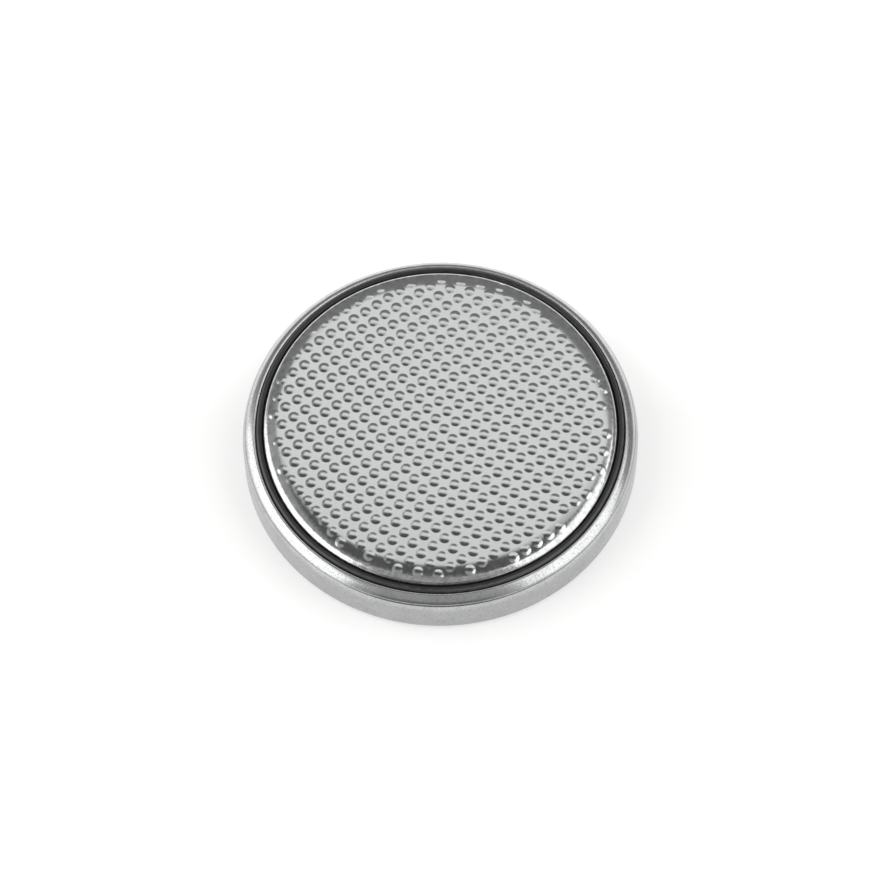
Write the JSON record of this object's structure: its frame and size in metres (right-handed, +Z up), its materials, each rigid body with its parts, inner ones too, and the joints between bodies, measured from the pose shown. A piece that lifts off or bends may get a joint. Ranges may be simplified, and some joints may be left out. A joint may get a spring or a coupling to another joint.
{
  "type": "lithium coin cell",
  "caption": "Flat round lithium coin cell: a steel can crimped over a black gasket round a stepped cap that carries a field of raised contact dots.",
  "frame": {"origin": "centre of the can's flat base, on the cell's axis", "axes": "+Z up the cell's axis, from the positive can to the negative cap; +X along the straight rows of contact dots"},
  "size_m": [0.02, 0.02, 0.0032],
  "materials": {
    "can_steel": "satin nickel-plated steel with fine turning marks round the crimp",
    "gasket_plastic": "black moulded polypropylene, slightly glossy",
    "cap_steel": "satin pressed stainless steel, lightly scuffed",
    "lithium": "dull grey rolled metal",
    "separator_film": "white porous polypropylene film",
    "cathode_mix": "black pressed powder",
    "collector_steel": "plain thin stainless steel"
  },
  "bodies": {
    "root": {"positive_can": "can_steel", "sealing_gasket": "gasket_plastic", "negative_cap": "cap_steel", "lithium_anode": "lithium", "separator": "separator_film", "cathode_pellet": "cathode_mix", "cathode_collector": "collector_steel"}
  },
  "joints": []
}
